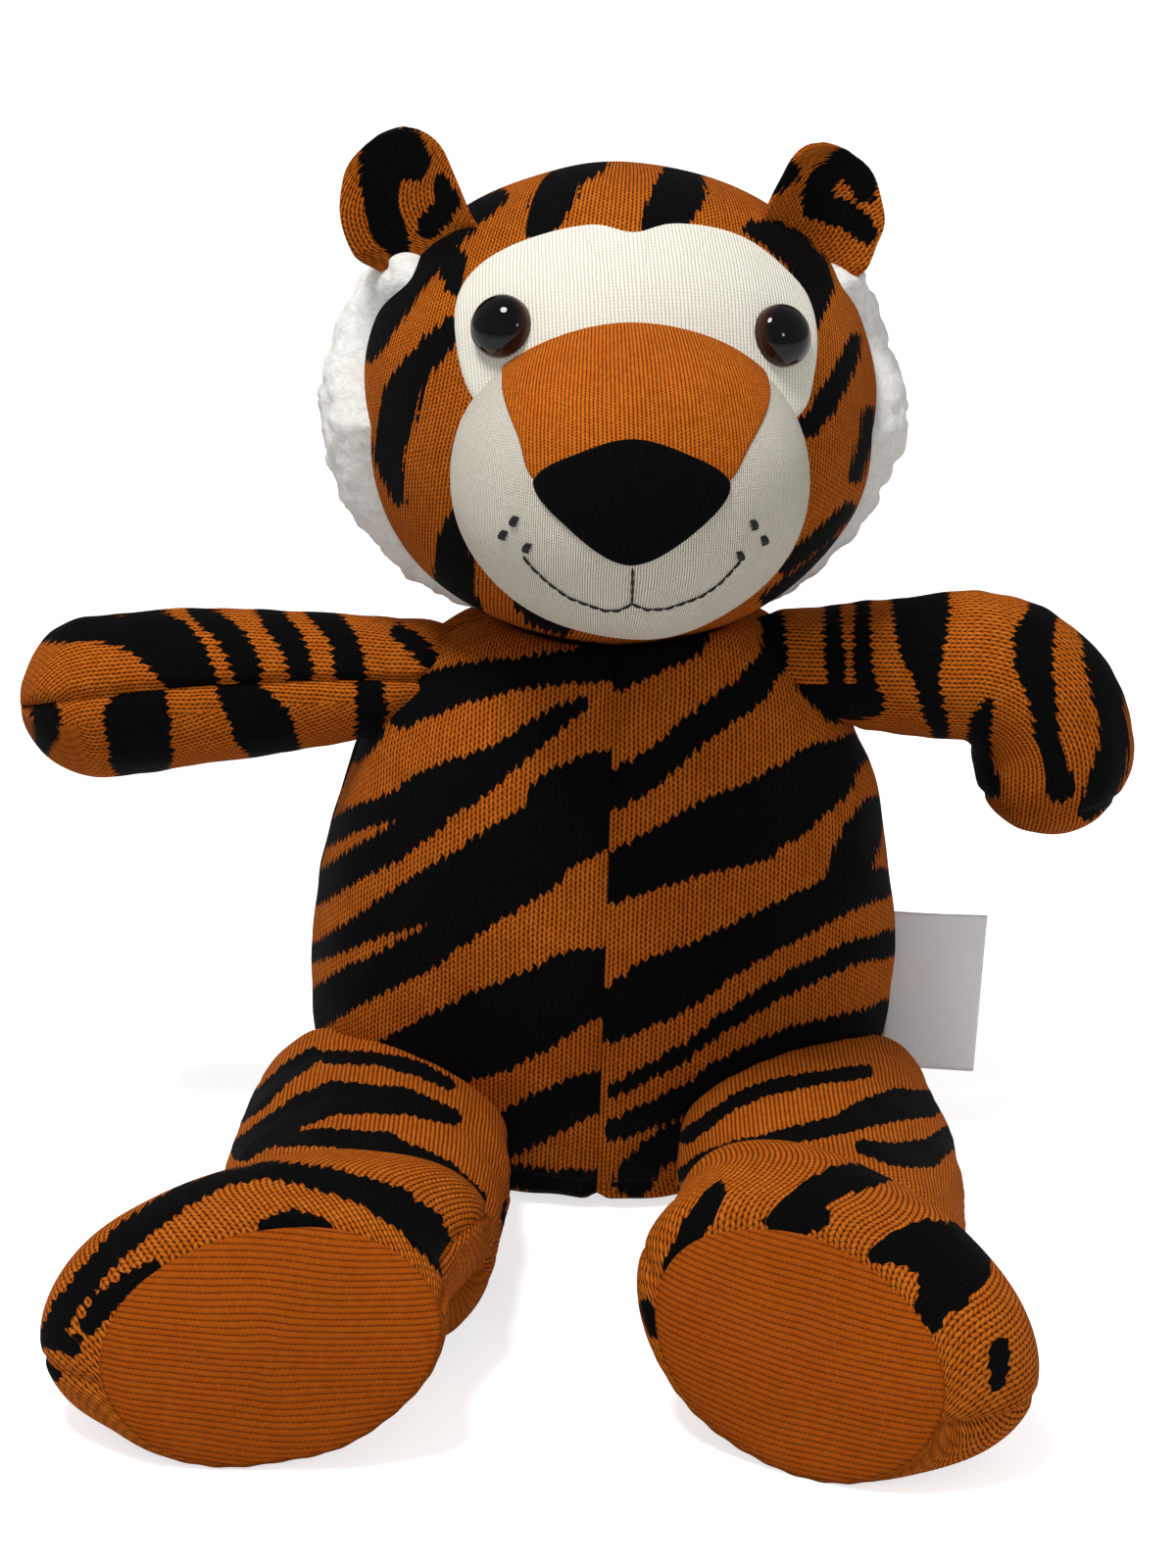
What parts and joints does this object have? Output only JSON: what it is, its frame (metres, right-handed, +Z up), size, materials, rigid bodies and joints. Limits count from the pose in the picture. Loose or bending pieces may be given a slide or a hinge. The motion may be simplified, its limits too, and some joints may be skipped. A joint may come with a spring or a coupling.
{
  "type": "plush tiger",
  "caption": "Seated plush tiger sewn from striped knit, with a sherpa-backed head, cream mask and muzzle, glossy eyes, and stuffed limbs, feet and tail.",
  "frame": {"origin": "middle of the seat's flat underside, where the toy sits on a surface", "axes": "+Z up, -Y the way the face looks, +X the toy's own left side"},
  "size_m": [0.3374, 0.3768, 0.3162],
  "materials": {
    "rust_knit": "rust orange plain knit with black tiger stripes",
    "sole_knit": "darker rust knit, ribs across the sole",
    "cream_knit": "cream fine ribbed knit",
    "black_knit": "black fine knit",
    "sherpa_pile": "off-white curly sherpa pile",
    "eye_plastic": "glossy near-black dome with a dark brown rim",
    "washer_plastic": "plain moulded washer",
    "satin_ribbon": "white woven satin, bare",
    "stuffing": "white polyester fibre"
  },
  "bodies": {
    "torso": {"torso_back_left": "rust_knit", "torso_back_right": "rust_knit", "torso_front_right": "rust_knit", "torso_front_left": "rust_knit", "seat_panel": "rust_knit", "torso_filling": "stuffing"},
    "head": {"face_panel": "rust_knit", "forehead_patch": "cream_knit", "muzzle_cover": "cream_knit", "nose_bridge": "rust_knit", "nose_tip": "black_knit", "muzzle_filling": "stuffing", "ear_left_front": "rust_knit", "ear_left_back": "rust_knit", "ear_right_front": "rust_knit", "ear_right_back": "rust_knit", "head_back": "sherpa_pile", "head_filling": "stuffing", "eye_left": "eye_plastic", "eye_left_washer": "washer_plastic", "eye_right": "eye_plastic", "eye_right_washer": "washer_plastic"},
    "arm_right": {"arm_right_upper_panel": "rust_knit", "arm_right_lower_panel": "rust_knit", "arm_right_filling": "stuffing"},
    "leg_right": {"leg_right_upper_panel": "rust_knit", "leg_right_lower_panel": "rust_knit", "leg_right_filling": "stuffing"},
    "foot_right": {"foot_right_top_panel": "rust_knit", "foot_right_bottom_panel": "rust_knit", "foot_right_sole": "sole_knit", "foot_right_filling": "stuffing"},
    "arm_left": {"arm_left_upper_panel": "rust_knit", "arm_left_lower_panel": "rust_knit", "arm_left_filling": "stuffing"},
    "leg_left": {"leg_left_upper_panel": "rust_knit", "leg_left_lower_panel": "rust_knit", "leg_left_filling": "stuffing"},
    "foot_left": {"foot_left_top_panel": "rust_knit", "foot_left_bottom_panel": "rust_knit", "foot_left_sole": "sole_knit", "foot_left_filling": "stuffing"},
    "tail": {"tail_left_panel": "rust_knit", "tail_right_panel": "rust_knit", "tail_filling": "stuffing"},
    "label": {"side_label": "satin_ribbon"}
  },
  "joints": [
    {"name": "head_turn", "type": "hinge", "parent": "torso", "child": "head", "pos_m": [0.0045, 0.002, 0.1587], "axis": [0, 0, 1], "range_deg": [-35, 35], "stiffness_Nm_per_rad": 0.1},
    {"name": "right_shoulder", "type": "hinge", "parent": "torso", "child": "arm_right", "pos_m": [-0.062, 0, 0.1505], "axis": [0, 1, 0], "range_deg": [-30, 0], "stiffness_Nm_per_rad": 0.3, "springref_deg": 2.29},
    {"name": "left_shoulder", "type": "hinge", "parent": "torso", "child": "arm_left", "pos_m": [0.066, 0, 0.1545], "axis": [0, 1, 0], "range_deg": [0, 25], "stiffness_Nm_per_rad": 0.3, "springref_deg": -2.29},
    {"name": "right_hip", "type": "hinge", "parent": "torso", "child": "leg_right", "pos_m": [-0.069, -0.028, 0.024], "axis": [1, 0, 0], "range_deg": [0, 75], "stiffness_Nm_per_rad": 0.3},
    {"name": "left_hip", "type": "hinge", "parent": "torso", "child": "leg_left", "pos_m": [0.063, -0.028, 0.024], "axis": [1, 0, 0], "range_deg": [0, 75], "stiffness_Nm_per_rad": 0.3},
    {"name": "right_ankle", "type": "hinge", "parent": "leg_right", "child": "foot_right", "pos_m": [-0.069, -0.144, 0.0283], "axis": [1, 0, 0], "range_deg": [-15, 15], "stiffness_Nm_per_rad": 0.3},
    {"name": "left_ankle", "type": "hinge", "parent": "leg_left", "child": "foot_left", "pos_m": [0.063, -0.144, 0.0283], "axis": [1, 0, 0], "range_deg": [-15, 15], "stiffness_Nm_per_rad": 0.3},
    {"name": "tail_swing", "type": "hinge", "parent": "torso", "child": "tail", "pos_m": [0, 0.05, 0.0115], "axis": [0, 0, 1], "range_deg": [-25, 25], "stiffness_Nm_per_rad": 0.03},
    {"name": "label_flap", "type": "hinge", "parent": "torso", "child": "label", "pos_m": [0.0909, 0, 0.048], "axis": [0, 0, 1], "range_deg": [-30, 30], "stiffness_Nm_per_rad": 0.0005}
  ]
}
